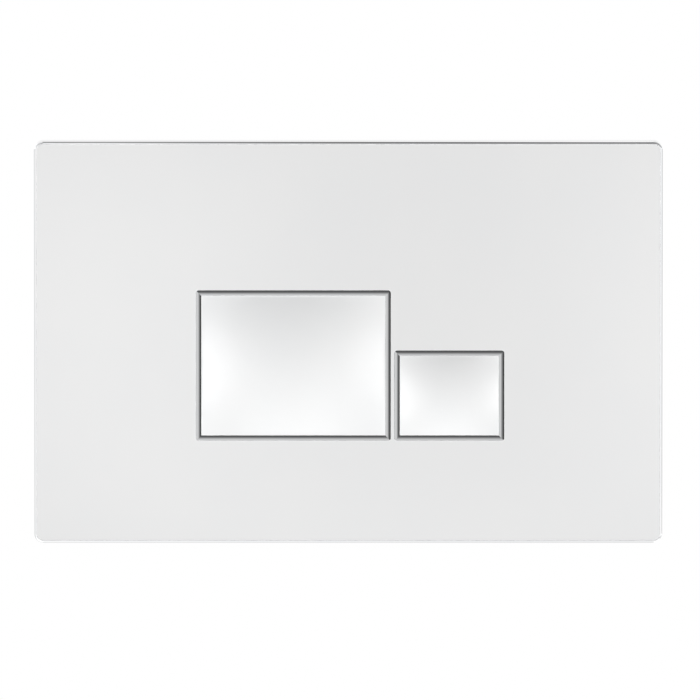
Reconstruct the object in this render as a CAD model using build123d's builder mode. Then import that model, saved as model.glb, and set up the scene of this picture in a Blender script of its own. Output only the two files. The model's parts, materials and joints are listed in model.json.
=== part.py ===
from build123d import *
import os

os.makedirs("parts", exist_ok=True)

# A dual-flush button plate for a concealed cistern, in millimetres.
# X is to the right and Z is up. The plate faces -Y and Y = 0 is the finished wall.
# The origin is midway between the two fixing studs. Each level named below is a distance
# in front of the wall, so a level under zero lies behind it, in the cistern's opening.

# Cover plate
plate_width = 250.0
plate_height = 160.0
plate_depth = 12.0
plate_corner_radius = 3.5
trim_wall = 1.0
trim_land = 0.2
ledge_width = 3.2
ledge_thickness = 1.6
panel_thickness = 2.0
panel_clearance = 0.05

# Button faces, as they show inside their bezels
large_face_width = 73.2
large_face_height = 55.7
small_face_width = 39.4
small_face_height = 31.7
large_face_x = -21.9
bezels_bottom = -39.25
bezel_gap = 1.35
face_corner_radius = 0.4
large_dish_depth = 2.0
small_dish_depth = 1.2
button_travel = 5.0

# Bezels
bezel_width = 2.2
bezel_corner_radius = 1.2
bezel_corner_reach = 1.0
bead_height = 0.6
bead_side = 0.1
collar_wall = 1.0
collar_depth = 7.0
collar_clearance = 0.15
lug_width = 8.0
lug_length = 1.4
lug_grip = 0.85
large_lug_spacing = 44.0
small_lug_spacing = 20.0

# Button caps
cap_overlap = 0.35
cap_clearance = 0.25
cap_wall = 2.2
skirt_wall = 1.6
skirt_depth = 8.0
cap_boss_radius = 2.6
hollow_corner_radius = 0.6

# Sliders behind the caps
slider_setback = 5.0
slider_thickness = 2.0
slider_clearance = 0.3
edge_margin = 1.2
boss_radius = 4.2
boss_wall = 1.4
boss_protrusion = 1.0
boss_clearance = 0.3
slider_peg_length = 2.0

# Cap screws
cap_screw_radius = 1.2
cap_screw_head_radius = 2.4
cap_screw_head_thickness = 1.4
cap_screw_head_chamfer = 0.6
cap_screw_grip = 2.8
large_screw_spacing = 36.0
pilot_clearance = 0.05
pilot_spare = 0.4
screw_hole_clearance = 0.3

# Return springs
spring_length = 12.0
spring_radius = 3.5
spring_wire = 0.7
spring_peg_clearance = 0.4

# Rubber bumpers
bumper_radius = 2.8
bumper_thickness = 2.4
bumper_gap = 0.1
bumper_stem_radius = 1.2
bumper_stem_length = 2.6
stem_clearance = 0.1

# Carrier
carrier_thickness = 2.0
carrier_clearance = 0.4
rim_wall = 1.6
rim_gap = 1.5
well_clearance = 0.25
well_wall = 1.5
floor_thickness = 2.0
sleeve_height = 3.0
sleeve_wall = 1.2
floor_peg_length = 2.5
knob_relief = 1.5
pad_width = 12.0
pad_height = 5.0
pad_spacing = 62.0

# Carrier screws and the panel's bosses that they turn into
carrier_screw_radius = 1.4
carrier_screw_head_radius = 4.2
carrier_screw_head_thickness = 1.6
carrier_screw_head_chamfer = 0.7
carrier_screw_edge = 8.0
carrier_screw_grip = 3.4
panel_boss_radius = 2.8
panel_boss_clearance = 0.3
panel_boss_gap = 0.2

# Snap hooks of the carrier
hook_spacing = 76.0
hook_width = 9.0
hook_thickness = 1.6
hook_grip = 1.2
hook_nose = 2.2
hook_clearance = 0.3
hook_flex_room = 1.4

# Mounting frame
frame_gap = 0.4
frame_plate = 2.0
frame_flange = 1.6
frame_corner_radius = 6.0
frame_screw_gap = 1.0
opening_margin = 5.0
opening_corner_radius = 4.0
frame_rib = 1.4
frame_rib_spacing = 66.0
side_rib_spacing = 54.0
cup_floor = 2.0
cup_wall = 1.6
cup_clearance = 1.6

# Fixing studs with their washers and knobs
stud_inset = 20.4
stud_radius = 3.0
stud_shank_radius = 2.65
stud_shank_reach = 0.2
stud_reach = 70.0
stud_tip_chamfer = 0.8
slot_travel = 8.0
slot_clearance = 0.6
washer_radius = 9.0
washer_thickness = 1.2
washer_clearance = 0.35
knob_radius = 10.0
knob_height = 5.4
knob_skin = 1.2
knob_flutes = 12
knob_flute_radius = 1.5
knob_chamfer = 0.6
thread_clearance = 0.05

# Bridge that guides the push rods
bridge_height = 18.0
bridge_thickness = 3.0
bridge_arm = 2.5
bridge_gap = 1.2
bridge_rib = 1.6
bridge_rib_depth = 5.0
bush_length = 11.5
bush_wall = 3.0
bush_clearance = 0.1

# Push rods with their heads, lock nuts and springs
rod_radius = 3.0
rod_reach = 75.0
rod_tip_radius = 2.5
rod_tip_length = 16.0
rod_tip_chamfer = 0.6
rod_gap = 0.3
head_radius = 8.5
head_thickness = 2.0
head_skin = 1.2
head_chamfer = 0.5
hub_radius = 5.0
hub_length = 3.0
nut_across_flats = 10.0
nut_thickness = 3.0
rod_spring_wire = 0.8
rod_spring_clearance = 0.5

# Levels of the cover
panel_back = plate_depth - panel_thickness
carrier_front = panel_back - ledge_thickness
carrier_back = carrier_front - carrier_thickness
skirt_back = plate_depth - skirt_depth
slider_front = plate_depth - slider_setback
slider_back = slider_front - slider_thickness
floor_front = slider_back - spring_length
floor_back = floor_front - floor_thickness
boss_tip = floor_back - boss_protrusion
bumper_seat = slider_back - button_travel - bumper_gap - bumper_thickness
panel_boss_end = carrier_back + panel_boss_gap

# Levels of the mounting frame and the push rods
frame_front = carrier_back - frame_gap
frame_hollow = frame_front - frame_plate
knob_seat = cup_floor + washer_thickness
stud_front = knob_seat + knob_height - knob_skin
head_front = boss_tip - rod_gap
head_back = head_front - head_thickness
hub_back = head_back - hub_length
nut_back = hub_back - nut_thickness
bridge_front = nut_back - button_travel - bridge_gap
bridge_back = bridge_front - bridge_thickness
bush_back = bridge_front - bush_length
rod_front = head_front - head_skin
rod_spring_length = head_back - bridge_front

# How far each outline round a button lies outside the face that shows
collar_inside = cap_overlap + cap_clearance
collar_outside = collar_inside + collar_wall
panel_cut = collar_outside + collar_clearance
hollow_inside = cap_overlap - skirt_wall
slider_edge = hollow_inside - slider_clearance
well_inside = collar_outside + well_clearance
well_outside = well_inside + well_wall

# Places on the plate
large_face_z = bezels_bottom + bezel_width + large_face_height / 2
small_face_x = large_face_x + large_face_width / 2 + 2 * bezel_width + bezel_gap + small_face_width / 2
small_face_z = bezels_bottom + bezel_width + small_face_height / 2
rod_z = small_face_z
wells_left = large_face_x - large_face_width / 2 - well_outside
wells_right = small_face_x + small_face_width / 2 + well_outside
wells_bottom = bezels_bottom + bezel_width - well_outside
wells_top = large_face_z + large_face_height / 2 + well_outside

# Outlines of the cover
pocket_width = plate_width - 2 * trim_wall
pocket_height = plate_height - 2 * trim_wall
pocket_corner_radius = plate_corner_radius - trim_wall
carrier_width = pocket_width - 2 * carrier_clearance
carrier_height = pocket_height - 2 * carrier_clearance
carrier_corner_radius = pocket_corner_radius - carrier_clearance
carrier_screw_span_x = carrier_width - 2 * carrier_screw_edge
carrier_screw_span_z = carrier_height - 2 * carrier_screw_edge

# Outlines of the mounting frame
screw_room = 2 * (carrier_screw_head_radius + frame_screw_gap)
frame_width = carrier_screw_span_x - screw_room
frame_height = carrier_screw_span_z - screw_room
opening_width = 2 * (max(-wells_left, wells_right) + opening_margin)
opening_height = 2 * (max(-wells_bottom, wells_top) + opening_margin)
band_middle = (frame_height + opening_height) / 4
side_middle = (frame_width + opening_width) / 4
stud_spacing = frame_width - 2 * stud_inset
cup_radius = knob_radius + cup_clearance
hook_root = band_middle - hook_thickness / 2
hook_tip = hook_root + hook_thickness

# Sizes of round pieces that go together
spring_bore = spring_radius - spring_wire
spring_peg_radius = spring_bore - spring_peg_clearance
bumper_hole_radius = bumper_stem_radius + stem_clearance
sleeve_bore = boss_radius + boss_clearance
nut_corner_radius = nut_across_flats / 3**0.5
rod_spring_bore = nut_corner_radius + rod_spring_clearance
rod_spring_radius = rod_spring_bore + rod_spring_wire
bush_bore = rod_radius + bush_clearance
bush_radius = bush_bore + bush_wall
rod_thread_bore = rod_radius + thread_clearance
trim_round = trim_wall - trim_land


def level(distance):
    """Plane parallel to the wall, facing out of it, at this distance in front of it."""
    return Plane.XZ.offset(distance)


def upright(x):
    """Plane across the plate at this X, with the distance behind the wall and the height as its axes."""
    return Plane.YZ.offset(x)


class Button:
    """One button's place on the plate, and the places of the small pieces behind its cap."""

    def __init__(self, width, height, x, z, dish_depth, screw_columns, lug_spacing):
        self.width = width
        self.height = height
        self.x = x
        self.z = z
        self.dish_depth = dish_depth
        self.screw_columns = screw_columns
        self.lug_spacing = lug_spacing
        room_x = width + 2 * (slider_edge - edge_margin)
        room_z = height + 2 * (slider_edge - edge_margin)
        self.spring_spacing = room_x - 2 * spring_radius
        self.bumper_spacing_x = room_x - 2 * bumper_radius
        self.bumper_spacing_z = room_z - 2 * bumper_radius
        self.screw_spacing_z = room_z - 2 * cap_screw_head_radius
        self.boss_z = rod_z - z

    def level(self, distance):
        """Plane parallel to the wall with its origin on the middle of this button."""
        return Plane(origin=(self.x, -distance, self.z), x_dir=(1, 0, 0), z_dir=(0, -1, 0))

    def outline(self, spread, mode=Mode.ADD):
        """Rounded rectangle that runs round the face at this distance outside it."""
        corner = max(face_corner_radius + spread, hollow_corner_radius)
        RectangleRounded(self.width + 2 * spread, self.height + 2 * spread, corner, mode=mode)

    def dish(self, rim):
        """Dished face: four straight edges at the rim's level, and a middle that lies deeper."""
        pull = 4 * self.dish_depth
        columns = (-self.width / 2, 0, self.width / 2)
        rows = (-self.height / 2, 0, self.height / 2)
        net = [[(self.x + x, -rim, self.z + z) for z in rows] for x in columns]
        net[1][1] = (self.x, -rim + pull, self.z)
        return Face.make_bezier_surface(net)

    def screw_places(self):
        """Places of the screws that hold the slider to the cap."""
        return GridLocations(large_screw_spacing, self.screw_spacing_z, self.screw_columns, 2)

    def spring_places(self):
        """Places of the two return springs."""
        return GridLocations(self.spring_spacing, 0, 2, 1)

    def bumper_places(self):
        """Places of the four rubber bumpers."""
        return GridLocations(self.bumper_spacing_x, self.bumper_spacing_z, 2, 2)


large = Button(
    large_face_width, large_face_height, large_face_x, large_face_z, large_dish_depth, 2, large_lug_spacing
)
small = Button(
    small_face_width, small_face_height, small_face_x, small_face_z, small_dish_depth, 1, small_lug_spacing
)
buttons = (large, small)


def carrier_screw_places():
    """Places of the six screws round the carrier's edge."""
    return GridLocations(carrier_screw_span_x / 2, carrier_screw_span_z, 3, 2)


def stud_places():
    """Places of the two fixing studs."""
    return GridLocations(stud_spacing, 0, 2, 1)


def button_bezel(button):
    """Plated ring: an arched bead on the panel, a collar through it, and lugs that clip behind it."""
    half_width = button.width / 2
    half_height = button.height / 2
    with BuildPart() as bezel:
        with BuildLine(button.level(plate_depth)) as face_edge:
            Polyline(
                (0, -half_height),
                (half_width, -half_height),
                (half_width, half_height),
                (-half_width, half_height),
                (-half_width, -half_height),
                close=True,
            )
        way_round = face_edge.wire()
        inwards = Vector(0, -1, 0).cross(way_round % 0)
        with BuildSketch(Plane(origin=way_round @ 0, x_dir=inwards, z_dir=way_round % 0)):
            with BuildLine():
                Polyline((0, bead_side), (0, 0), (-bezel_width, 0), (-bezel_width, bead_side))
                ThreePointArc((0, bead_side), (-bezel_width / 2, bead_height), (-bezel_width, bead_side))
            make_face()
        sweep(path=way_round, transition=Transition.RIGHT)
        outer_width = half_width + bezel_width
        outer_height = half_height + bezel_width
        corner_start = (outer_width - bezel_corner_reach, outer_height)
        corner_end = (outer_width, outer_height - bezel_corner_reach)
        with BuildSketch(button.level(plate_depth)):
            with BuildLine():
                Line((0, outer_height), corner_start)
                RadiusArc(corner_start, corner_end, bezel_corner_radius)
                Line(corner_end, (outer_width, 0))
                mirror(about=Plane.XZ)
                mirror(about=Plane.YZ)
            make_face()
        extrude(amount=2 * bead_height, mode=Mode.INTERSECT)
        with BuildSketch(button.level(plate_depth)):
            button.outline(collar_outside)
            button.outline(collar_inside, mode=Mode.SUBTRACT)
        extrude(amount=-collar_depth)
        lug_root = half_height + collar_outside
        lug_tip = half_height + panel_cut + lug_grip
        for column in (-0.5, 0.5):
            for side in (-1, 1):
                with BuildSketch(upright(button.x + column * button.lug_spacing)):
                    with BuildLine():
                        Polyline(
                            (-panel_back, button.z + side * lug_root),
                            (-panel_back, button.z + side * lug_tip),
                            (-panel_back + lug_length, button.z + side * lug_root),
                            close=True,
                        )
                    make_face()
                extrude(amount=lug_width / 2, both=True)
    return bezel


def cap_hollow(button):
    """Space inside a cap: it follows the dish at the cap's wall and leaves the screw bosses standing."""
    with BuildPart() as hollow:
        with BuildSketch(button.level(skirt_back)):
            button.outline(hollow_inside)
        extrude(amount=skirt_depth - cap_wall)
        extrude(button.dish(plate_depth - cap_wall), amount=skirt_depth, dir=(0, -1, 0), mode=Mode.SUBTRACT)
        with BuildSketch(button.level(slider_front)):
            with button.screw_places():
                Circle(cap_boss_radius)
        extrude(amount=slider_setback, mode=Mode.SUBTRACT)
    return hollow


def button_cap(button):
    """Moulded cap with a dished face, an open back and bosses for its screws."""
    hollow = cap_hollow(button)
    with BuildPart() as cap:
        with BuildSketch(button.level(skirt_back)):
            button.outline(cap_overlap)
        extrude(amount=skirt_depth)
        extrude(button.dish(plate_depth), amount=skirt_depth, dir=(0, -1, 0), mode=Mode.SUBTRACT)
        add(hollow.part, mode=Mode.SUBTRACT)
        with BuildSketch(button.level(slider_front)):
            with button.screw_places():
                Circle(cap_screw_radius + pilot_clearance)
        extrude(amount=cap_screw_grip + pilot_spare, mode=Mode.SUBTRACT)
    return cap


def button_slider(button):
    """Plate screwed into the cap, with the hollow boss that pushes the rod and pegs for the springs."""
    with BuildPart() as slider:
        with BuildSketch(button.level(slider_back)):
            button.outline(slider_edge)
            with button.screw_places():
                Circle(cap_screw_radius + screw_hole_clearance, mode=Mode.SUBTRACT)
        extrude(amount=slider_thickness)
        with BuildSketch(button.level(slider_back)):
            with Locations((0, button.boss_z)):
                Circle(boss_radius)
        extrude(amount=boss_tip - slider_back)
        with BuildSketch(button.level(slider_front)):
            with Locations((0, button.boss_z)):
                Circle(boss_radius - boss_wall)
        extrude(amount=boss_tip + slider_thickness - slider_front, mode=Mode.SUBTRACT)
        with BuildSketch(button.level(slider_back)):
            with button.spring_places():
                Circle(spring_peg_radius)
        extrude(amount=-slider_peg_length)
    return slider


def cap_screws(button):
    """Screws that hold a slider in its cap, heads to the back."""
    with BuildPart() as screws:
        with BuildSketch(button.level(slider_back)):
            with button.screw_places():
                Circle(cap_screw_head_radius)
        extrude(amount=-cap_screw_head_thickness)
        chamfer(screws.edges().group_by(Axis.Y)[-1], cap_screw_head_chamfer)
        with BuildSketch(button.level(slider_back)):
            with button.screw_places():
                Circle(cap_screw_radius)
        extrude(amount=slider_thickness + cap_screw_grip)
    return screws


def return_springs(button):
    """Envelopes of a button's two coil springs, from the well's floor to the slider."""
    with BuildPart() as springs:
        with BuildSketch(button.level(floor_front)):
            with button.spring_places():
                Circle(spring_radius)
                Circle(spring_bore, mode=Mode.SUBTRACT)
        extrude(amount=spring_length)
    return springs


def bumpers(button):
    """Rubber stops that end a button's travel, each with its stem in a post of the carrier."""
    with BuildPart() as stops:
        with BuildSketch(button.level(bumper_seat)):
            with button.bumper_places():
                Circle(bumper_radius)
        extrude(amount=bumper_thickness)
        with BuildSketch(button.level(bumper_seat)):
            with button.bumper_places():
                Circle(bumper_stem_radius)
        extrude(amount=-bumper_stem_length)
    return stops


def push_rod(button):
    """Rod from the head through the bridge's bush to a thinner tip behind the wall."""
    with BuildPart() as rod:
        with BuildSketch(button.level(rod_tip_length - rod_reach)):
            with Locations((0, button.boss_z)):
                Circle(rod_radius)
        extrude(amount=rod_front + rod_reach - rod_tip_length)
        with BuildSketch(button.level(-rod_reach)):
            with Locations((0, button.boss_z)):
                Circle(rod_tip_radius)
        extrude(amount=rod_tip_length)
        chamfer(rod.edges().group_by(Axis.Y)[-1], rod_tip_chamfer)
    return rod


def rod_head(button):
    """Round head with a blind threaded hub, turned onto the rod to set its length."""
    with BuildPart() as head:
        with BuildSketch(button.level(head_back)):
            with Locations((0, button.boss_z)):
                Circle(head_radius)
        extrude(amount=head_thickness)
        chamfer(head.edges().group_by(Axis.Y)[0], head_chamfer)
        with BuildSketch(button.level(hub_back)):
            with Locations((0, button.boss_z)):
                Circle(hub_radius)
        extrude(amount=hub_length)
        with BuildSketch(button.level(hub_back)):
            with Locations((0, button.boss_z)):
                Circle(rod_thread_bore)
        extrude(amount=rod_front - hub_back, mode=Mode.SUBTRACT)
    return head


def lock_nut(button):
    """Hexagon nut that locks the head on the rod."""
    with BuildPart() as nut:
        with BuildSketch(button.level(nut_back)):
            with Locations((0, button.boss_z)):
                RegularPolygon(nut_corner_radius, 6)
                Circle(rod_thread_bore, mode=Mode.SUBTRACT)
        extrude(amount=nut_thickness)
    return nut


def rod_spring(button):
    """Envelope of the coil spring that lifts a rod back to its button."""
    with BuildPart() as spring:
        with BuildSketch(button.level(bridge_front)):
            with Locations((0, button.boss_z)):
                Circle(rod_spring_radius)
                Circle(rod_spring_bore, mode=Mode.SUBTRACT)
        extrude(amount=rod_spring_length)
    return spring


# Plated frame round the panel's edge, with the ledge that the panel lies on
with BuildPart() as edge_trim:
    with BuildSketch(level(0)):
        RectangleRounded(plate_width, plate_height, plate_corner_radius)
    extrude(amount=plate_depth)
    fillet(edge_trim.faces().sort_by(Axis.Y)[0].edges(), trim_round)
    with BuildSketch(level(panel_back)):
        RectangleRounded(pocket_width, pocket_height, pocket_corner_radius)
    extrude(amount=panel_thickness, mode=Mode.SUBTRACT)
    with BuildSketch(level(0)):
        RectangleRounded(pocket_width, pocket_height, pocket_corner_radius)
    extrude(amount=carrier_front, mode=Mode.SUBTRACT)
    with BuildSketch(level(carrier_front)):
        RectangleRounded(
            pocket_width - 2 * ledge_width, pocket_height - 2 * ledge_width, pocket_corner_radius
        )
    extrude(amount=ledge_thickness, mode=Mode.SUBTRACT)

# Flat white panel with its two cut-outs and the bosses on its back
with BuildPart() as face_panel:
    with BuildSketch(level(panel_back)):
        RectangleRounded(
            pocket_width - 2 * panel_clearance,
            pocket_height - 2 * panel_clearance,
            pocket_corner_radius - panel_clearance,
        )
    extrude(amount=panel_thickness)
    for button in buttons:
        with BuildSketch(button.level(panel_back)):
            button.outline(panel_cut)
        extrude(amount=panel_thickness, mode=Mode.SUBTRACT)
    with BuildSketch(level(panel_boss_end)):
        with carrier_screw_places():
            Circle(panel_boss_radius)
    extrude(amount=panel_back - panel_boss_end)
    with BuildSketch(level(panel_boss_end)):
        with carrier_screw_places():
            Circle(carrier_screw_radius + pilot_clearance)
    extrude(amount=carrier_screw_grip + pilot_spare, mode=Mode.SUBTRACT)

# Moulded carrier: plate, rim, the two wells with their springs' and stops' seats, and the snap hooks
with BuildPart() as carrier:
    with BuildSketch(level(carrier_back)):
        RectangleRounded(carrier_width, carrier_height, carrier_corner_radius)
        with stud_places():
            Circle(knob_radius + knob_relief, mode=Mode.SUBTRACT)
        with carrier_screw_places():
            Circle(panel_boss_radius + panel_boss_clearance, mode=Mode.SUBTRACT)
    extrude(amount=carrier_thickness)
    with BuildSketch(level(rim_gap)):
        RectangleRounded(carrier_width, carrier_height, carrier_corner_radius)
        RectangleRounded(
            carrier_width - 2 * rim_wall,
            carrier_height - 2 * rim_wall,
            carrier_corner_radius,
            mode=Mode.SUBTRACT,
        )
    extrude(amount=carrier_back - rim_gap)
    for button in buttons:
        with BuildSketch(button.level(floor_back)):
            button.outline(well_outside)
        extrude(amount=carrier_back - floor_back)
    for button in buttons:
        with BuildSketch(button.level(floor_front)):
            button.outline(well_inside)
        extrude(amount=carrier_front - floor_front, mode=Mode.SUBTRACT)
    for button in buttons:
        with BuildSketch(button.level(floor_front)):
            with Locations((0, button.boss_z)):
                Circle(sleeve_bore + sleeve_wall)
        extrude(amount=sleeve_height)
        with BuildSketch(button.level(floor_back)):
            with Locations((0, button.boss_z)):
                Circle(sleeve_bore)
        extrude(amount=floor_thickness + sleeve_height, mode=Mode.SUBTRACT)
        with BuildSketch(button.level(floor_front)):
            with button.spring_places():
                Circle(spring_peg_radius)
        extrude(amount=floor_peg_length)
        with BuildSketch(button.level(floor_front)):
            with button.bumper_places():
                Circle(bumper_radius)
        extrude(amount=bumper_seat - floor_front)
        with BuildSketch(button.level(bumper_seat)):
            with button.bumper_places():
                Circle(bumper_hole_radius)
        extrude(amount=-bumper_stem_length - pilot_spare, mode=Mode.SUBTRACT)
    with BuildSketch(level(frame_front)):
        with GridLocations(2 * side_middle, pad_spacing, 2, 2):
            Rectangle(pad_width, pad_height)
    extrude(amount=frame_gap)
    for column in (-0.5, 0.5):
        for side in (-1, 1):
            with BuildSketch(upright(column * hook_spacing)):
                with BuildLine():
                    Polyline(
                        (-carrier_back, side * hook_root),
                        (-carrier_back, side * hook_tip),
                        (-frame_hollow, side * hook_tip),
                        (-frame_hollow, side * (hook_tip + hook_grip)),
                        (-frame_hollow + hook_nose, side * hook_tip),
                        (-frame_hollow + hook_nose, side * hook_root),
                        close=True,
                    )
                make_face()
            extrude(amount=hook_width / 2, both=True)

# Six screws that clamp the panel, the trim and the carrier together
with BuildPart() as carrier_screws:
    with BuildSketch(level(carrier_back)):
        with carrier_screw_places():
            Circle(carrier_screw_head_radius)
    extrude(amount=-carrier_screw_head_thickness)
    chamfer(carrier_screws.edges().group_by(Axis.Y)[-1], carrier_screw_head_chamfer)
    with BuildSketch(level(carrier_back)):
        with carrier_screw_places():
            Circle(carrier_screw_radius)
    extrude(amount=panel_boss_gap + carrier_screw_grip)

# Mounting frame: a channel ring on the wall, with cups for the knobs, windows for the hooks,
# and a bridge behind the wells that guides the push rods
with BuildPart() as mounting_frame:
    with BuildSketch(level(0)):
        RectangleRounded(frame_width, frame_height, frame_corner_radius)
        RectangleRounded(opening_width, opening_height, opening_corner_radius, mode=Mode.SUBTRACT)
    extrude(amount=frame_front)
    with BuildSketch(level(0)):
        RectangleRounded(
            frame_width - 2 * frame_flange,
            frame_height - 2 * frame_flange,
            frame_corner_radius - frame_flange,
        )
        RectangleRounded(
            opening_width + 2 * frame_flange,
            opening_height + 2 * frame_flange,
            opening_corner_radius + frame_flange,
            mode=Mode.SUBTRACT,
        )
    extrude(amount=frame_hollow, mode=Mode.SUBTRACT)
    with BuildSketch(level(0)):
        with GridLocations(frame_rib_spacing, 2 * band_middle, 3, 2):
            Rectangle(frame_rib, (frame_height - opening_height) / 2 - frame_flange)
        with GridLocations(2 * side_middle, side_rib_spacing, 2, 2):
            Rectangle((frame_width - opening_width) / 2 - frame_flange, frame_rib)
        with stud_places():
            Circle(cup_radius + cup_wall)
    extrude(amount=frame_hollow)
    with BuildSketch(level(cup_floor)):
        with stud_places():
            Circle(cup_radius)
    extrude(amount=frame_front - cup_floor, mode=Mode.SUBTRACT)
    with BuildSketch(level(0)):
        with stud_places():
            SlotCenterToCenter(slot_travel, 2 * (stud_radius + slot_clearance))
    extrude(amount=cup_floor, mode=Mode.SUBTRACT)
    window_inside = hook_root - hook_flex_room
    window_outside = hook_tip + hook_clearance
    with BuildSketch(level(frame_hollow)):
        with GridLocations(hook_spacing, window_inside + window_outside, 2, 2):
            Rectangle(hook_width + 2 * hook_clearance, window_outside - window_inside)
    extrude(amount=frame_plate, mode=Mode.SUBTRACT)
    with BuildSketch(level(bridge_back)):
        with Locations((0, rod_z)):
            Rectangle(opening_width, bridge_height)
    extrude(amount=frame_front - bridge_back)
    with BuildSketch(level(bridge_front)):
        with Locations((0, rod_z)):
            Rectangle(opening_width - 2 * bridge_arm, bridge_height)
    extrude(amount=frame_front - bridge_front, mode=Mode.SUBTRACT)
    with BuildSketch(level(bridge_back)):
        with Locations((0, rod_z)):
            Rectangle(opening_width, bridge_rib)
    extrude(amount=-bridge_rib_depth)
    for button in buttons:
        with BuildSketch(button.level(bush_back)):
            with Locations((0, button.boss_z)):
                Circle(bush_radius)
        extrude(amount=bridge_back - bush_back)
    for button in buttons:
        with BuildSketch(button.level(bush_back)):
            with Locations((0, button.boss_z)):
                Circle(bush_bore)
        extrude(amount=bush_length, mode=Mode.SUBTRACT)

# Two fixing studs: thread behind the wall, and a thinner shank through the frame into the knob
with BuildPart() as fixing_studs:
    with BuildSketch(level(-stud_reach)):
        with stud_places():
            Circle(stud_radius)
    extrude(amount=stud_reach - stud_shank_reach)
    chamfer(fixing_studs.edges().group_by(Axis.Y)[-1], stud_tip_chamfer)
    with BuildSketch(level(-stud_shank_reach)):
        with stud_places():
            Circle(stud_shank_radius)
    extrude(amount=stud_shank_reach + stud_front)

# Washers between the knobs and the frame's cups
with BuildPart() as stud_washers:
    with BuildSketch(level(cup_floor)):
        with stud_places():
            Circle(washer_radius)
            Circle(stud_shank_radius + washer_clearance, mode=Mode.SUBTRACT)
    extrude(amount=washer_thickness)

# Fluted knobs that draw the frame to the wall
with BuildPart() as fixing_knobs:
    with BuildSketch(level(knob_seat)):
        with stud_places():
            Circle(knob_radius)
        with stud_places():
            with PolarLocations(knob_radius, knob_flutes):
                Circle(knob_flute_radius, mode=Mode.SUBTRACT)
    extrude(amount=knob_height)
    chamfer(fixing_knobs.faces().group_by(Axis.Y)[0].edges(), knob_chamfer)
    with BuildSketch(level(knob_seat)):
        with stud_places():
            Circle(stud_shank_radius + thread_clearance)
    extrude(amount=knob_height - knob_skin, mode=Mode.SUBTRACT)

large_bezel = button_bezel(large)
small_bezel = button_bezel(small)
large_button_cap = button_cap(large)
small_button_cap = button_cap(small)
large_button_slider = button_slider(large)
small_button_slider = button_slider(small)
large_cap_screws = cap_screws(large)
small_cap_screws = cap_screws(small)
large_return_springs = return_springs(large)
small_return_springs = return_springs(small)
large_bumpers = bumpers(large)
small_bumpers = bumpers(small)
large_push_rod = push_rod(large)
small_push_rod = push_rod(small)
large_rod_head = rod_head(large)
small_rod_head = rod_head(small)
large_lock_nut = lock_nut(large)
small_lock_nut = lock_nut(small)
large_rod_spring = rod_spring(large)
small_rod_spring = rod_spring(small)

pieces = {
    "edge_trim": edge_trim,
    "face_panel": face_panel,
    "carrier": carrier,
    "carrier_screws": carrier_screws,
    "mounting_frame": mounting_frame,
    "fixing_studs": fixing_studs,
    "stud_washers": stud_washers,
    "fixing_knobs": fixing_knobs,
    "large_bezel": large_bezel,
    "small_bezel": small_bezel,
    "large_button_cap": large_button_cap,
    "small_button_cap": small_button_cap,
    "large_button_slider": large_button_slider,
    "small_button_slider": small_button_slider,
    "large_cap_screws": large_cap_screws,
    "small_cap_screws": small_cap_screws,
    "large_return_springs": large_return_springs,
    "small_return_springs": small_return_springs,
    "large_bumpers": large_bumpers,
    "small_bumpers": small_bumpers,
    "large_push_rod": large_push_rod,
    "small_push_rod": small_push_rod,
    "large_rod_head": large_rod_head,
    "small_rod_head": small_rod_head,
    "large_lock_nut": large_lock_nut,
    "small_lock_nut": small_lock_nut,
    "large_rod_spring": large_rod_spring,
    "small_rod_spring": small_rod_spring,
}
for name, piece in pieces.items():
    piece.part.label = name
    export_step(piece.part, f"parts/{name}.step")
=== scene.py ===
"""Flush button plate: finishes, threads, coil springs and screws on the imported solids, and the studio."""

import json
import math

import bmesh
import bpy
from mathutils import Matrix, Vector


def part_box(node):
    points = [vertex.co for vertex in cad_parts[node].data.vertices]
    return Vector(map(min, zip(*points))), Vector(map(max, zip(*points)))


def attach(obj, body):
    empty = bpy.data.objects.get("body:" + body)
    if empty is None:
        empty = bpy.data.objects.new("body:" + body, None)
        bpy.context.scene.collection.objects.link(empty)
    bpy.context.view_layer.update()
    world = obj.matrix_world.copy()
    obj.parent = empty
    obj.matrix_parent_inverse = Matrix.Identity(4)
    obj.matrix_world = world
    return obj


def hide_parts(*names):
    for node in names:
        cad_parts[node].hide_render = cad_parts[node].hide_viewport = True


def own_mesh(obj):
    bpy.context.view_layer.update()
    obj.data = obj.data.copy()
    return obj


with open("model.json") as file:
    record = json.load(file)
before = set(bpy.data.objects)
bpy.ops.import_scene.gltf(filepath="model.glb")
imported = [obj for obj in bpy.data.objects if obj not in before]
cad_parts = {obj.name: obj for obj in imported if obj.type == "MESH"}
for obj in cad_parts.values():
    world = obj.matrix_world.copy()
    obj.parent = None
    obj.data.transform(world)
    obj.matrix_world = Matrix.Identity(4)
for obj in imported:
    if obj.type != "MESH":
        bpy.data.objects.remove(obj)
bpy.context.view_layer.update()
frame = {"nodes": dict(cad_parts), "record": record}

MM = 0.001
MILLIWATT = 0.001
OUT_OF_WALL = Vector((0, -1, 0))
INTO_WALL = Vector((0, 1, 0))

# Mesh finish
MERGE_DISTANCE = 0.002 * MM
SHARP_ANGLE = math.radians(38)
TURN_STEPS = 40

# Coil springs
WIRE_SIDES = 10
COIL_STEPS = 28
CLOSED_TURN_PITCH = 1.04
RETURN_SPRING = {"wire": 0.7 * MM, "turns": 4.5, "columns": 2}
ROD_SPRING = {"wire": 0.8 * MM, "turns": 3.5, "columns": 1}

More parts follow.
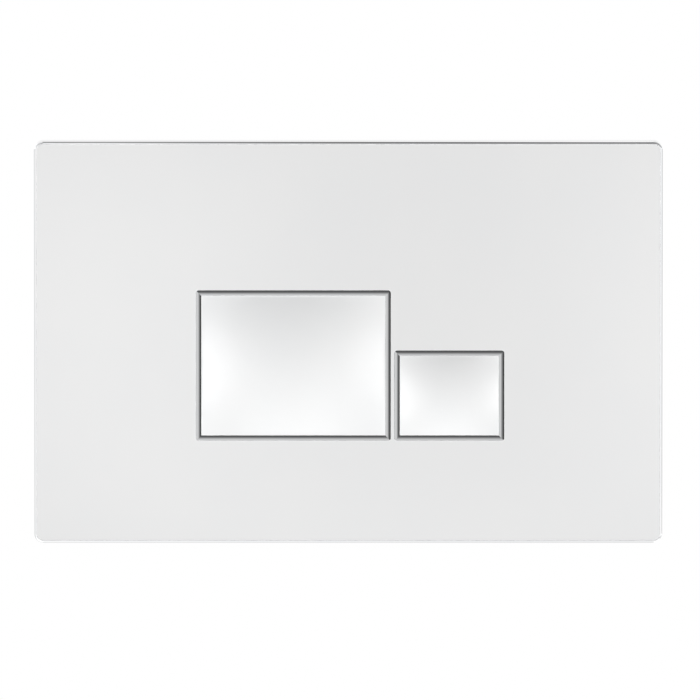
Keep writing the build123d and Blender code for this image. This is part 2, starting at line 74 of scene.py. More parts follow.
# Threads: the outline's corners as shares of one pitch, then the studs and the push rods
THREAD_STEPS = 20
THREAD_ROOT_END = 0.25
THREAD_CREST_START = 0.5625
THREAD_CREST_END = 0.6875
STUD_PITCH = 1.0 * MM
STUD_CREST = 3.0 * MM
STUD_ROOT = 2.4 * MM
STUD_SHANK = 2.65 * MM
STUD_SHANK_LENGTH = 7.6 * MM
STUD_TIP_TAPER = 0.8 * MM
ROD_PITCH = 1.5 * MM
ROD_CREST = 3.0 * MM
ROD_ROOT = 2.45 * MM
ROD_THREAD_LENGTH = 12.5 * MM
ROD_TIP_RADIUS = 2.5 * MM
ROD_TIP_LENGTH = 16.0 * MM
ROD_TIP_TAPER = 0.6 * MM

# Screws with a cross recess: radii and lengths, then shares of the head's radius or thickness
CARRIER_SCREW = {"head": 4.2 * MM, "thickness": 1.6 * MM, "shank": 1.4 * MM}
CAP_SCREW = {"head": 2.4 * MM, "thickness": 1.4 * MM, "shank": 1.2 * MM}
CAP_SCREW_COLUMNS = {"large": 2, "small": 1}
HEAD_RIM = 0.45
HEAD_SHOULDER = 0.9
HEAD_FLAT = 0.72
RECESS_REACH = 0.52
RECESS_WIDTH = 0.13
RECESS_DEPTH = 0.6
RECESS_TAPER = 0.62

# Shared effects: (noise, mask) stops, stretches along the axes and shares of the effect's scale
DRIFT_STOPS = ((0.3, 0.0), (0.7, 1.0))
WIPED_STOPS = ((0.45, 0.0), (0.72, 1.0))
WIPED_STRETCH = (1.0, 1.0, 0.3)
SPECK_STOPS = ((0.62, 0.0), (0.75, 0.5))
SPECK_SCALE = 22.0
GRAIN_STOPS = ((0.3, 0.0), (0.7, 1.0))
GRAIN_WAVE_SCALE = 0.4
LINE_STOPS = ((0.35, 0.0), (0.65, 1.0))
LINE_STRETCH = (1.0, 0.03, 1.0)

# Floor
FLOOR_RADIUS = 1.25
FLOOR_LEVEL = -0.28
FLOOR_SIDES = 96
FLOOR_NEAR = 0.2
FLOOR_FAR = 0.95

# What the gloss and the plating mirror, as (share of the way across, brightness) stops
FRONT_BY_HEIGHT = (
    (0.0, 0.93), (0.03, 0.81), (0.12, 0.77), (0.21, 0.65), (0.35, 0.55), (0.46, 0.42), (0.60, 0.31),
    (0.73, 0.17), (0.84, 0.11), (1.0, 0.17),
)
FRONT_BY_SIDE = ((0.0, 1.0), (0.44, 0.95), (0.51, 0.47), (0.70, 0.42), (0.87, 0.12), (1.0, 0.08))
FRONT_BRIGHTNESS = 2.3
BACK_BY_HEIGHT = ((0.0, 1.0), (0.80, 1.0), (0.94, 0.12), (1.0, 0.12))
FRONT_TO_BACK = ((0.5, 0.0), (0.62, 1.0))

# Lights: azimuth and elevation in degrees, distance, width and height in metres, power in watts
LIGHTS = {
    "key_light": (0, 53, 12.0, 4.8, 4.8, 2330.0),
    "second_key_light": (0, 53, 12.0, 4.8, 4.8, 230.0),
    "back_left_light": (-140, 45, 2.2, 1.0, 1.0, 30.0),
    "back_right_light": (140, 45, 2.2, 1.0, 1.0, 30.0),
}
LIGHTS_OFF_PANEL = ("second_key_light",)

# Cards that one piece alone mirrors, given as the lights are
REFLECTIONS = {
    "large_button_cap": {
        "large_left_strip": (-19, 2, 3.0, 1.0, 1.8, 34.0),
        "large_right_strip": (17, 2, 3.0, 1.0, 1.8, 44.0),
    },
    "small_button_cap": {
        "small_left_strip": (-20, 2, 3.0, 1.1, 1.8, 33.0),
        "small_right_strip": (20, 2, 3.0, 1.1, 1.8, 32.0),
    },
    "edge_trim": {
        "front_card": (0, -4, 3.0, 1.0, 1.0, 2.8),
        "left_card": (-52, 0, 3.0, 5.4, 1.5, 10.0),
        "right_card": (52, 0, 3.0, 5.4, 1.5, 29.0),
        "low_card": (0, -48, 3.0, 6.0, 4.1, 46.0),
        "near_card": (0, 8, 0.5, 0.26, 0.1, 0.035),
        "upper_left_card": (-90, 45, 3.0, 8.0, 4.6, 104.0),
        "upper_right_card": (90, 45, 3.0, 8.0, 4.6, 58.0),
        "lower_right_card": (90, -45, 3.0, 7.0, 4.6, 84.0),
        "top_left_card": (0, 40, 1.5, 0.34, 1.87, 1.8),
        "top_right_card": (180, 60, 1.5, 0.34, 2.34, 2.0),
    },
}

# Cards that fade across their width, and the fade as (share of the width, strength) stops
FADED_CARDS = ("top_left_card", "top_right_card")
CARD_FADE = ((0.13, 1.0), (0.32, 0.53), (0.50, 0.18), (0.70, 0.0))

# Small lamps that light one piece alone: place, width and height in millimetres, power in milliwatts
FILLS = {
    "large_button_cap": {
        "large_left_fill": (-64.9, -22.0, -31.4, 4.0, 14.0, 0.34),
        "large_right_fill": (21.1, -22.0, -31.4, 4.0, 14.0, 0.30),
    },
    "small_button_cap": {
        "small_left_fill": (14.1, -22.0, -31.4, 4.0, 14.0, 0.28),
        "small_right_fill": (66.2, -22.0, -31.4, 4.0, 14.0, 0.14),
    },
    "face_panel": {
        "panel_left_fill": (-110.0, -72.0, 0.0, 140.0, 160.0, 10.3),
        "panel_right_fill": (130.0, -72.0, 0.0, 40.0, 160.0, 6.4),
        "panel_low_fill": (20.0, -142.0, -130.0, 160.0, 40.0, 22.8),
    },
}

# Camera, as the photograph sees the plate: lens in millimetres, elevation in degrees, the rest in metres
LENS = 800.0
CAMERA_ELEVATION = 4.56
CAMERA_DISTANCE = 6.1876
CAMERA_AIM = Vector((0.00066, -0.012, -0.00297))
CAMERA_REACH = 100.0


# Node helpers

def add_node(tree, kind, inputs=None, **settings):
    """New node with these settings. An input given as a socket is linked, any other is its value."""
    node = tree.nodes.new(kind)
    for key, value in settings.items():
        setattr(node, key, value)
    for key, value in (inputs or {}).items():
        if isinstance(value, bpy.types.NodeSocket):
            tree.links.new(value, node.inputs[key])
        else:
            node.inputs[key].default_value = value
    return node


def add_ramp(tree, value, stops, interpolation="LINEAR"):
    """Colour ramp of (position, grey) stops, read as a value."""
    ramp = add_node(tree, "ShaderNodeValToRGB", {"Fac": value})
    elements = ramp.color_ramp.elements
    ramp.color_ramp.interpolation = interpolation
    for number, (position, grey) in enumerate(stops):
        element = elements[number] if number < len(elements) else elements.new(position)
        element.position = position
        element.color = (grey, grey, grey, 1)
    return ramp.outputs["Color"]


def add_math(tree, operation, first, second):
    """Math node on two values or sockets."""
    return add_node(tree, "ShaderNodeMath", {0: first, 1: second}, operation=operation).outputs["Value"]


def add_noise(tree, place, scale, **settings):
    """Noise of this scale over a place, as a value."""
    noise = add_node(tree, "ShaderNodeTexNoise", {"Vector": place, "Scale": scale, **settings})
    return noise.outputs["Fac"]


def object_place(tree, stretch=(1, 1, 1)):
    """Object coordinates, stretched along the axes."""
    place = add_node(tree, "ShaderNodeTexCoord").outputs["Object"]
    return add_node(tree, "ShaderNodeMapping", {"Vector": place, "Scale": stretch}).outputs["Vector"]


def new_group(name, outputs):
    """Empty shader node group with a scale as its input and these values as its outputs."""
    group = bpy.data.node_groups.new(name, "ShaderNodeTree")
    group.interface.new_socket("Scale", in_out="INPUT", socket_type="NodeSocketFloat")
    for output in outputs:
        group.interface.new_socket(output, in_out="OUTPUT", socket_type="NodeSocketFloat")
    return group, group.nodes.new("NodeGroupInput"), group.nodes.new("NodeGroupOutput")


# Effects that several finishes share

def make_colour_drift():
    """Slow drift between two colours, as between parts of one moulding or plating."""
    group, given, result = new_group("colour_drift", ("Mask",))
    noise = add_noise(group, object_place(group), given.outputs["Scale"], Detail=3.0, Roughness=0.55)
    group.links.new(add_ramp(group, noise, DRIFT_STOPS, "EASE"), result.inputs["Mask"])
    return group


def make_handling_marks():
    """Patches left by wiping and by fingers: a mask of where a gloss is a little duller."""
    group, given, result = new_group("handling_marks", ("Mask",))
    along = object_place(group, WIPED_STRETCH)
    wiped = add_noise(group, along, given.outputs["Scale"], Detail=4.0, Distortion=0.8)
    speck_scale = add_math(group, "MULTIPLY", given.outputs["Scale"], SPECK_SCALE)
    specks = add_noise(group, object_place(group), speck_scale, Detail=2.0)
    patches = add_ramp(group, wiped, WIPED_STOPS, "EASE")
    dots = add_ramp(group, specks, SPECK_STOPS, "EASE")
    group.links.new(add_math(group, "MAXIMUM", patches, dots), result.inputs["Mask"])
    return group


def make_moulded_grain():
    """Fine grain of an eroded mould, as a height and as a shade."""
    group, given, result = new_group("moulded_grain", ("Height", "Shade"))
    place = object_place(group)
    pits = add_node(
        group, "ShaderNodeTexVoronoi", {"Vector": place, "Scale": given.outputs["Scale"]},
        feature="SMOOTH_F1",
    )
    wave_scale = add_math(group, "MULTIPLY", given.outputs["Scale"], GRAIN_WAVE_SCALE)
    waves = add_noise(group, place, wave_scale, Detail=3.0)
    height = add_math(group, "ADD", pits.outputs["Distance"], waves)
    group.links.new(height, result.inputs["Height"])
    group.links.new(add_ramp(group, waves, GRAIN_STOPS), result.inputs["Shade"])
    return group


def make_drawn_lines():
    """Fine lines along the pieces that point into the wall, as drawing or turning leaves them."""
    group, given, result = new_group("drawn_lines", ("Height", "Shade"))
    lines = add_noise(group, object_place(group, LINE_STRETCH), given.outputs["Scale"], Detail=5.0)
    group.links.new(lines, result.inputs["Height"])
    group.links.new(add_ramp(group, lines, LINE_STOPS), result.inputs["Shade"])
    return group


colour_drift = make_colour_drift()
handling_marks = make_handling_marks()
moulded_grain = make_moulded_grain()
drawn_lines = make_drawn_lines()


# Finishes

class PieceFinish:
    """A material with one Principled shader, and the means to feed it from the shared effects."""

    def __init__(self, name, **values):
        self.material = bpy.data.materials.new(name)
        self.material.use_nodes = True
        self.tree = self.material.node_tree
        self.shader = self.tree.nodes["Principled BSDF"]
        for socket, value in values.items():
            self.shader.inputs[socket].default_value = value

    def effect(self, group, scale):
        """Outputs of a shared effect, placed at this scale."""
        return add_node(self.tree, "ShaderNodeGroup", {"Scale": scale}, node_tree=group).outputs

    def colours(self, mask, dark, pale):
        """Base colour between two colours, by a mask."""
        mix = add_node(self.tree, "ShaderNodeMix", {"Factor": mask}, data_type="RGBA")
        # The node has sockets for other kinds of data too, under the same names
        first, second = [socket for socket in mix.inputs if socket.type == "RGBA"]
        first.default_value = (*dark, 1)
        second.default_value = (*pale, 1)
        (mixed,) = [socket for socket in mix.outputs if socket.type == "RGBA"]
        self.tree.links.new(mixed, self.shader.inputs["Base Color"])

    def roughness(self, mask, low, high):
        """Roughness from low to high, by a mask."""
        level = add_node(self.tree, "ShaderNodeMapRange", {"Value": mask, "To Min": low, "To Max": high})
        self.tree.links.new(level.outputs["Result"], self.shader.inputs["Roughness"])

    def relief(self, height, strength, depth):
        """Surface relief from a height, its depth in metres."""
        bump = add_node(
            self.tree, "ShaderNodeBump", {"Height": height, "Strength": strength, "Distance": depth}
        )
        self.tree.links.new(bump.outputs["Normal"], self.shader.inputs["Normal"])


def make_gloss_white(name, dark, pale, low, high):
    """Gloss white moulding between two whites, its roughness between low and high."""
    finish = PieceFinish(name, IOR=1.46)
    finish.colours(finish.effect(colour_drift, scale=25.0)["Mask"], dark, pale)
    finish.roughness(finish.effect(handling_marks, scale=45.0)["Mask"], low, high)
    finish.relief(finish.effect(colour_drift, scale=160.0)["Mask"], strength=0.04, depth=0.02 * MM)
    return finish.material


def make_polished_chrome():
    """Mirror plating of the bezels and the edge trim."""
    finish = PieceFinish("polished_chrome", Metallic=1.0)
    drift = finish.effect(colour_drift, scale=60.0)["Mask"]
    finish.colours(drift, dark=(0.615, 0.622, 0.632), pale=(0.635, 0.638, 0.642))
    finish.roughness(finish.effect(handling_marks, scale=70.0)["Mask"], low=0.03, high=0.08)
    return finish.material


def make_grey_moulding():
    """Grey filled moulding of the carrier and the mounting frame."""
    finish = PieceFinish("grey_moulding", IOR=1.5)
    grain = finish.effect(moulded_grain, scale=2200.0)
    drift = finish.effect(colour_drift, scale=45.0)["Mask"]
    finish.colours(drift, dark=(0.30, 0.31, 0.32), pale=(0.36, 0.37, 0.38))
    finish.roughness(grain["Shade"], low=0.42, high=0.60)
    finish.relief(grain["Height"], strength=0.35, depth=0.06 * MM)
    return finish.material


def make_natural_moulding():
    """Off-white slippery moulding of the sliders and rod heads."""
    finish = PieceFinish("natural_moulding", IOR=1.48)
    grain = finish.effect(moulded_grain, scale=2800.0)
    drift = finish.effect(colour_drift, scale=70.0)["Mask"]
    finish.colours(drift, dark=(0.74, 0.73, 0.68), pale=(0.81, 0.80, 0.77))
    finish.roughness(grain["Shade"], low=0.30, high=0.45)
    finish.relief(grain["Height"], strength=0.2, depth=0.04 * MM)
    return finish.material


def make_rod_moulding():
    """Blue moulding of the push rods and their lock nuts, with faint draw lines."""
    finish = PieceFinish("rod_moulding", IOR=1.5)
    lines = finish.effect(drawn_lines, scale=700.0)
    finish.colours(lines["Shade"], dark=(0.12, 0.25, 0.46), pale=(0.18, 0.33, 0.56))
    finish.roughness(finish.effect(handling_marks, scale=120.0)["Mask"], low=0.32, high=0.5)
    finish.relief(lines["Height"], strength=0.25, depth=0.04 * MM)
    return finish.material


def make_plain_steel():
    """Bright zinc-plated steel of the studs, washers, screws and springs."""
    finish = PieceFinish("plain_steel", Metallic=1.0)
    lines = finish.effect(drawn_lines, scale=1200.0)
    drift = finish.effect(colour_drift, scale=130.0)["Mask"]
    finish.colours(drift, dark=(0.56, 0.57, 0.59), pale=(0.66, 0.65, 0.62))
    finish.roughness(lines["Shade"], low=0.22, high=0.40)
    finish.relief(lines["Height"], strength=0.2, depth=0.03 * MM)
    return finish.material


def make_stop_rubber():
    """Black rubber of the bumpers, with a little bloom."""
    finish = PieceFinish("stop_rubber", IOR=1.5)
    grain = finish.effect(moulded_grain, scale=1500.0)
    bloom = finish.effect(handling_marks, scale=160.0)["Mask"]
    finish.colours(bloom, dark=(0.035, 0.035, 0.036), pale=(0.07, 0.07, 0.072))
    finish.roughness(grain["Shade"], low=0.68, high=0.85)
    finish.relief(grain["Height"], strength=0.3, depth=0.05 * MM)
    return finish.material


def make_knob_moulding():
    """Dark moulding of the fixing knobs, rubbed a little lighter by hands."""
    finish = PieceFinish("knob_moulding", IOR=1.5)
    grain = finish.effect(moulded_grain, scale=1700.0)
    rubbed = finish.effect(handling_marks, scale=90.0)["Mask"]
    finish.colours(rubbed, dark=(0.085, 0.086, 0.09), pale=(0.13, 0.13, 0.135))
    finish.roughness(grain["Shade"], low=0.38, high=0.56)
    finish.relief(grain["Height"], strength=0.3, depth=0.05 * MM)
    return finish.material


finishes = {
    "gloss_white": make_gloss_white(
        "panel_white", dark=(0.800, 0.802, 0.804), pale=(0.810, 0.810, 0.809), low=0.08, high=0.14
    ),
    "polished_chrome": make_polished_chrome(),
    "grey_moulding": make_grey_moulding(),
    "natural_moulding": make_natural_moulding(),
    "rod_moulding": make_rod_moulding(),
    "plain_steel": make_plain_steel(),
    "stop_rubber": make_stop_rubber(),
    "knob_moulding": make_knob_moulding(),
}
cap_white = make_gloss_white(
    "cap_white", dark=(0.812, 0.818, 0.822), pale=(0.824, 0.828, 0.828), low=0.18, high=0.24
)


def dress_solids():
    """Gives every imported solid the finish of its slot, and the caps a duller white than the panel's."""
    for subpart in frame["record"]["subparts"]:
        solid = frame["nodes"][subpart["node"]]
        solid.material_slots[0].material = finishes[subpart["material_slot"]]
    for cap in ("large_button_cap", "small_button_cap"):
        frame["nodes"][cap].material_slots[0].material = cap_white


# Mesh helpers

def spread(start, end, radius, count):
    """Centres of round pieces, evenly spaced so that they reach from start to end."""
    if count == 1:
        return [(start + end) / 2]
    step = (end - start - 2 * radius) / (count - 1)
    return [start + radius + number * step for number in range(count)]


def grid_places(node, radius, columns, rows):
    """Centres of equal round pieces in a grid that fills a node's box, and the box's two Y levels."""
    low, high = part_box(node)
    across = spread(low.x, high.x, radius, columns)
    upwards = spread(low.z, high.z, radius, rows)
    return [Vector((x, 0, z)) for x in across for z in upwards], low.y, high.y


def draw_outline(bm, outline, centre):
    """Draws (radius, Y) points, and the edges between them, to the right of a centre."""
    points = [bm.verts.new((centre.x + radius, y, centre.z)) for radius, y in outline]
    return points + [bm.edges.new(pair) for pair in zip(points, points[1:])]


def turn_outline(bm, outline, centre):
    """Turns (radius, Y) points once about the line through centre that points into the wall."""
    bmesh.ops.spin(
        bm, geom=draw_outline(bm, outline, centre), cent=centre, axis=INTO_WALL, angle=math.tau,
        steps=TURN_STEPS, use_merge=True,
    )


def close_ends(bm):
    """Fills the open ends of a tube or a thread."""
    bmesh.ops.holes_fill(bm, edges=[edge for edge in bm.edges if edge.is_boundary], sides=0)


def tidy_mesh(bm):
    """Merges doubles and turns all faces outwards."""
    bmesh.ops.remove_doubles(bm, verts=bm.verts, dist=MERGE_DISTANCE)
    bmesh.ops.recalc_face_normals(bm, faces=bm.faces)


def join(bm, other):
    """Adds another mesh to this one, once it is tidied."""
    tidy_mesh(other)
    mesh = bpy.data.meshes.new("joined")
    other.to_mesh(mesh)
    other.free()
    bm.from_mesh(mesh)
    bpy.data.meshes.remove(mesh)


def make_piece(bm, node, body, slot):
    """Makes the mesh the piece that stands for a node, in the slot's finish, riding on its body."""
    mesh = bpy.data.meshes.new(node + "_piece")
    bm.to_mesh(mesh)
    bm.free()
    mesh.shade_smooth()
    mesh.set_sharp_from_angle(angle=SHARP_ANGLE)
    mesh.materials.append(finishes[slot])
    piece = bpy.data.objects.new(node + "_piece", mesh)
    bpy.context.scene.collection.objects.link(piece)
    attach(piece, body)
    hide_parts(node)
    return piece


# Pieces

def wind_coil(centre, start, end, radius, wire, turns):
    """Round wire wound between two Y levels, with a closed turn at each end."""
    bm = bmesh.new()
    ring = bmesh.ops.create_circle(bm, segments=WIRE_SIDES, radius=wire / 2)["verts"]
    bmesh.ops.translate(bm, verts=ring, vec=(centre.x + radius - wire / 2, start + wire / 2, centre.z))
    wound = bm.verts[:] + bm.edges[:]
    closed_rise = wire * CLOSED_TURN_PITCH
    open_rise = end - start - wire - 2 * closed_rise
    for rise, count in ((closed_rise, 1), (open_rise, turns), (closed_rise, 1)):
        steps = round(count * COIL_STEPS)
        wound = bmesh.ops.spin(
            bm, geom=wound, cent=centre, axis=INTO_WALL, dvec=INTO_WALL * rise / steps,
            angle=math.tau * count, steps=steps,
        )["geom_last"]
    close_ends(bm)
    return bm


def add_spring(node, size):
    """Coil springs of one node, on a mesh of their own."""
    low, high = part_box(node)
    radius = (high.z - low.z) / 2
    places, start, end = grid_places(node, radius, size["columns"], rows=1)
    bm = bmesh.new()
    for place in places:
        join(bm, wind_coil(place, start, end, radius, size["wire"], size["turns"]))
    piece = make_piece(bm, node, "cover", "plain_steel")
    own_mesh(piece)


def cut_thread(centre, start, end, crest, root, pitch):
    """Thread about the line through centre, cut square and closed at both Y levels."""
    bm = bmesh.new()
    corners = (
        (root, 0), (root, THREAD_ROOT_END), (crest, THREAD_CREST_START), (crest, THREAD_CREST_END),
        (root, 1),
    )
    outline = [(radius, start - pitch + share * pitch) for radius, share in corners]
    turns = math.ceil((end - start) / pitch) + 1
    bmesh.ops.spin(
        bm, geom=draw_outline(bm, outline, centre), cent=centre, axis=INTO_WALL,
        dvec=INTO_WALL * pitch / THREAD_STEPS, angle=math.tau * turns, steps=turns * THREAD_STEPS,
    )
    bmesh.ops.remove_doubles(bm, verts=bm.verts, dist=MERGE_DISTANCE)
    for level, outwards in ((start, OUT_OF_WALL), (end, INTO_WALL)):
        bmesh.ops.bisect_plane(
            bm, geom=bm.verts[:] + bm.edges[:] + bm.faces[:], plane_co=(0, level, 0), plane_no=outwards,
            clear_outer=True,
        )
    close_ends(bm)
    return bm


def taper_tip(bm, centre, end, radius, length):
    """Draws the last stretch of a thread in to a cone."""
    for vert in bm.verts:
        limit = radius - max(0, vert.co.y - (end - length))
        reach = Vector((vert.co.x - centre.x, 0, vert.co.z - centre.z))
        if reach.length > limit:
            drawn = reach.normalized() * limit
            vert.co.x = centre.x + drawn.x
            vert.co.z = centre.z + drawn.z


def add_fixing_studs():
    """Threaded studs with a plain shank in each knob."""
    places, start, end = grid_places("fixing_studs", STUD_CREST, columns=2, rows=1)
    shank_end = start + STUD_SHANK_LENGTH
    shank_outline = ((0, start), (STUD_SHANK, start), (STUD_SHANK, shank_end), (0, shank_end))
    bm = bmesh.new()
    for place in places:
        shank = bmesh.new()
        turn_outline(shank, shank_outline, place)
        join(bm, shank)
        thread = cut_thread(place, shank_end, end, STUD_CREST, STUD_ROOT, STUD_PITCH)
        taper_tip(thread, place, end, STUD_CREST, STUD_TIP_TAPER)
        join(bm, thread)
    make_piece(bm, "fixing_studs", "cover", "plain_steel")


def add_push_rod(node, body):
    """Push rod: a thread for the head and lock nut, a plain stem and a thinner tip."""
    (place,), start, end = grid_places(node, ROD_CREST, columns=1, rows=1)
    thread_end = start + ROD_THREAD_LENGTH
    tip_start = end - ROD_TIP_LENGTH
    bm = bmesh.new()
    join(bm, cut_thread(place, start, thread_end, ROD_CREST, ROD_ROOT, ROD_PITCH))
    stem = bmesh.new()
    outline = (
        (0, thread_end), (ROD_CREST, thread_end), (ROD_CREST, tip_start), (ROD_TIP_RADIUS, tip_start),
        (ROD_TIP_RADIUS, end - ROD_TIP_TAPER), (ROD_TIP_RADIUS - ROD_TIP_TAPER, end), (0, end),
    )
    turn_outline(stem, outline, place)
    join(bm, stem)
    make_piece(bm, node, body, "rod_moulding")


def turn_screw(place, size, start, end):
    """Screw with a low domed head, open at the flat top of its head."""
    head, thickness, shank = size["head"], size["thickness"], size["shank"]
    underside = end - thickness
    outline = (
        (0, start), (shank / 2, start), (shank, start + shank / 2), (shank, underside), (head, underside),
        (head, underside + HEAD_RIM * thickness),
        (head * HEAD_SHOULDER, underside + HEAD_SHOULDER * thickness), (head * HEAD_FLAT, end),
    )
    bm = bmesh.new()
    turn_outline(bm, outline, place)
    tidy_mesh(bm)
    return bm


def sink_cross(bm, centre, level, reach, half_width, depth):
    """Cross recess, sunk out of the wall from the open top of a screw head at this Y level."""
    rim = [edge for edge in bm.edges if edge.is_boundary]
    corners = []
    for quarter in range(4):
        turn = Matrix.Rotation(quarter * math.pi / 2, 3, INTO_WALL)
        for across, along in ((-half_width, reach), (half_width, reach), (half_width, half_width)):
            corners.append(bm.verts.new(centre + turn @ Vector((across, 0, along)) + INTO_WALL * level))
    cross = [bm.edges.new(pair) for pair in zip(corners, corners[1:] + corners[:1])]
    bmesh.ops.triangle_fill(bm, edges=rim + cross, use_beauty=True)
    sunk = bmesh.ops.extrude_edge_only(bm, edges=cross)["geom"]
    verts = [part for part in sunk if isinstance(part, bmesh.types.BMVert)]
    bmesh.ops.translate(bm, verts=verts, vec=OUT_OF_WALL * depth)
    bmesh.ops.scale(
        bm, verts=verts, vec=(RECESS_TAPER, 1, RECESS_TAPER), space=Matrix.Translation(-centre)
    )
    bmesh.ops.edgeloop_fill(bm, edges=[part for part in sunk if isinstance(part, bmesh.types.BMEdge)])


def add_screws(node, body, size, columns, rows):
    """Screws of one node, each with a cross recess that faces the wall."""
    head = size["head"]
    places, start, end = grid_places(node, head, columns, rows)
    bm = bmesh.new()
    for place in places:
        screw = turn_screw(place, size, start, end)
        sink_cross(
            screw, place, end, head * RECESS_REACH, head * RECESS_WIDTH, size["thickness"] * RECESS_DEPTH
        )
        join(bm, screw)
    make_piece(bm, node, body, "plain_steel")


def add_pieces():
    """Pieces with more detail than the solids that they stand for."""
    add_fixing_studs()
    add_screws("carrier_screws", "cover", CARRIER_SCREW, columns=3, rows=2)
    for button, screw_columns in CAP_SCREW_COLUMNS.items():
        add_push_rod(button + "_push_rod", button + "_rod")
        add_screws(button + "_cap_screws", button + "_button", CAP_SCREW, screw_columns, rows=2)
        add_spring(button + "_return_springs", RETURN_SPRING)
        add_spring(button + "_rod_spring", ROD_SPRING)


# Studio

def make_pale_floor():
    """Dull finish of the floor, whiter towards its rim."""
    finish = PieceFinish("pale_floor")
    place = object_place(finish.tree, stretch=(1, 1, 0))
    reach = add_node(finish.tree, "ShaderNodeVectorMath", {"Vector": place}, operation="LENGTH")
    rim = add_node(
        finish.tree, "ShaderNodeMapRange",
        {"Value": reach.outputs["Value"], "From Min": FLOOR_NEAR, "From Max": FLOOR_FAR},
        interpolation_type="SMOOTHSTEP",
    )
    finish.colours(rim.outputs["Result"], dark=(0.36, 0.36, 0.36), pale=(0.62, 0.62, 0.62))
    finish.roughness(finish.effect(handling_marks, scale=4.0)["Mask"], low=0.7, high=0.85)
    return finish.material


def make_floor():
    """Round floor under the plate, which the plate neither mirrors nor is lit by."""
    bm = bmesh.new()
    bmesh.ops.create_circle(bm, cap_ends=True, segments=FLOOR_SIDES, radius=FLOOR_RADIUS)
    bmesh.ops.translate(bm, verts=bm.verts, vec=(0, 0, FLOOR_LEVEL))
    mesh = bpy.data.meshes.new("floor")
    bm.to_mesh(mesh)
    bm.free()
    mesh.materials.append(make_pale_floor())
    floor = bpy.data.objects.new("floor", mesh)
    bpy.context.scene.collection.objects.link(floor)
    floor.visible_diffuse = False
    floor.visible_glossy = False


def make_surroundings():
    """Studio that gloss and plating mirror: in front it darkens upwards and to the right."""
    world = bpy.data.worlds.new("studio")
    bpy.context.scene.world = world
    world.use_nodes = True
    tree = world.node_tree
    place = add_node(tree, "ShaderNodeTexCoord").outputs["Generated"]
    direction = add_node(tree, "ShaderNodeSeparateXYZ", {"Vector": place})

    def by(axis, stops):
        share = add_node(tree, "ShaderNodeMapRange", {"Value": direction.outputs[axis], "From Min": -1.0})
        return add_ramp(tree, share.outputs["Result"], stops, "EASE")

    front = add_math(tree, "MULTIPLY", by("Z", FRONT_BY_HEIGHT), by("X", FRONT_BY_SIDE))
    bright_front = add_math(tree, "MULTIPLY", front, FRONT_BRIGHTNESS)
    mirrored = add_node(tree, "ShaderNodeMix", {"Factor": by("Y", FRONT_TO_BACK)}, data_type="FLOAT")
    tree.links.new(bright_front, mirrored.inputs["A"])
    tree.links.new(by("Z", BACK_BY_HEIGHT), mirrored.inputs["B"])
    # The camera sees plain white behind the plate, and soft light comes from the lamps alone
    seen = add_node(tree, "ShaderNodeLightPath").outputs["Is Camera Ray"]
    strength = add_math(tree, "MAXIMUM", mirrored.outputs["Result"], seen)
    background = tree.nodes["Background"]
    background.inputs["Color"].default_value = (1, 1, 1, 1)
    tree.links.new(strength, background.inputs["Strength"])
    world.cycles_visibility.diffuse = False


def bearing(azimuth, elevation):
    """Direction from the plate, in degrees: azimuth 0 is straight in front, 90 to the right."""
    around = math.radians(azimuth)
    up = math.radians(elevation)
    return Vector((math.sin(around) * math.cos(up), -math.cos(around) * math.cos(up), math.sin(up)))


def facing(place, away):
    """Matrix of a lamp or camera at this place, with its back turned to the direction away."""
    return Matrix.Translation(place) @ away.to_track_quat("Z", "Y").to_matrix().to_4x4()


def add_lamp(name, matrix, width, height, power):
    """Rectangular soft lamp, unseen by the camera."""
    light = bpy.data.lights.new(name, "AREA")
    light.shape = "RECTANGLE"
    light.size = width
    light.size_y = height
    light.energy = power
    lamp = bpy.data.objects.new(name, light)
    bpy.context.scene.collection.objects.link(lamp)
    lamp.matrix_world = matrix
    lamp.visible_camera = False
    return lamp


def add_light(name, azimuth, elevation, distance, width, height, power):
    """Lamp of the studio, which looks at the plate's middle."""
    away = bearing(azimuth, elevation)
    return add_lamp(name, facing(away * distance, away), width, height, power)


def add_fill(name, x, y, z, width, height, power):
    """Small lamp close to the plate, which faces the wall."""
    place = Vector((x, y, z)) * MM
    return add_lamp(name, facing(place, OUT_OF_WALL), width * MM, height * MM, power * MILLIWATT)


def fade(light):
    """Lets a lamp fade across its width."""
    light.use_nodes = True
    tree = light.node_tree
    place = add_node(tree, "ShaderNodeNewGeometry").outputs["Parametric"]
    across = add_node(tree, "ShaderNodeSeparateXYZ", {"Vector": place}).outputs["X"]
    tree.links.new(add_ramp(tree, across, CARD_FADE), tree.nodes["Emission"].inputs["Strength"])


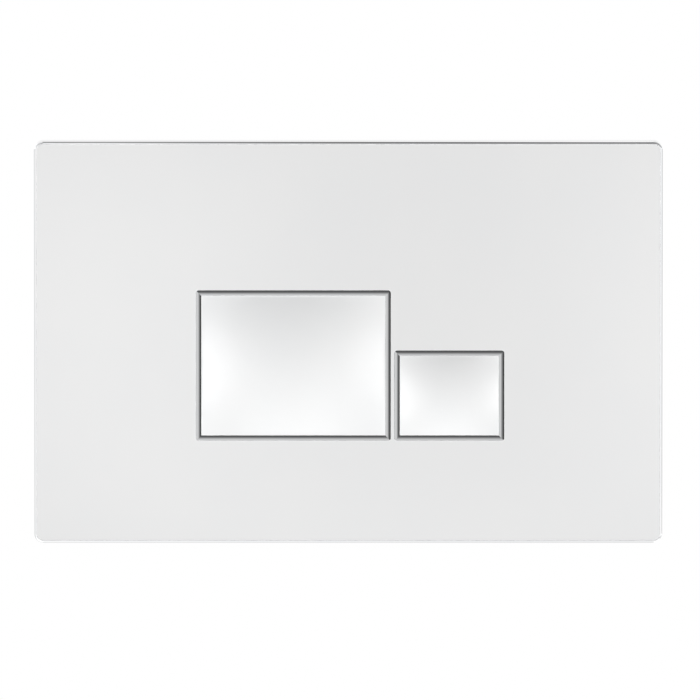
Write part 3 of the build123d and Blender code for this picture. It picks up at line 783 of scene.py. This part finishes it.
def gather(name, nodes, state="INCLUDE"):
    """Collection that links a light to these nodes alone, or to all but these."""
    group = bpy.data.collections.new(name)
    for node in nodes:
        group.objects.link(frame["nodes"][node])
    for member in group.collection_objects:
        member.light_linking.link_state = state
    return group


def add_lights(blockers):
    """Key light from above in front and two lights behind, none of them mirrored."""
    all_but_panel = gather("all_but_panel", ("face_panel",), "EXCLUDE")
    for name, values in LIGHTS.items():
        lamp = add_light(name, *values)
        lamp.visible_glossy = False
        lamp.light_linking.blocker_collection = blockers
        if name in LIGHTS_OFF_PANEL:
            lamp.light_linking.receiver_collection = all_but_panel


def add_reflections():
    """Cards that are only mirrored, each by one piece."""
    for node, cards in REFLECTIONS.items():
        mirror = gather(node + "_mirror", (node,))
        for name, values in cards.items():
            lamp = add_light(name, *values)
            lamp.visible_diffuse = False
            lamp.light_linking.receiver_collection = mirror
            if name in FADED_CARDS:
                fade(lamp.data)


def add_fills(blockers):
    """Small lamps that aren't mirrored and light one piece each."""
    for node, fills in FILLS.items():
        receiver = gather(node + "_receiver", (node,))
        for name, values in fills.items():
            lamp = add_fill(name, *values)
            lamp.visible_glossy = False
            lamp.light_linking.receiver_collection = receiver
            lamp.light_linking.blocker_collection = blockers


def light_plate():
    """All lamps and cards of the studio. The bezels throw no shadow on the panel and the caps."""
    all_but_bezels = gather("all_but_bezels", ("large_bezel", "small_bezel"), "EXCLUDE")
    add_lights(all_but_bezels)
    add_reflections()
    add_fills(all_but_bezels)


def add_camera():
    """Long lens, a little above the plate's middle, as in the photograph."""
    camera = bpy.data.cameras.new("camera")
    camera.lens = LENS
    camera.clip_end = CAMERA_REACH
    holder = bpy.data.objects.new("camera", camera)
    bpy.context.scene.collection.objects.link(holder)
    away = bearing(0, CAMERA_ELEVATION)
    holder.matrix_world = facing(CAMERA_AIM + away * CAMERA_DISTANCE, away)
    bpy.context.scene.camera = holder


dress_solids()
add_pieces()
make_floor()
make_surroundings()
light_plate()
add_camera()
bpy.context.scene.view_settings.view_transform = "Standard"
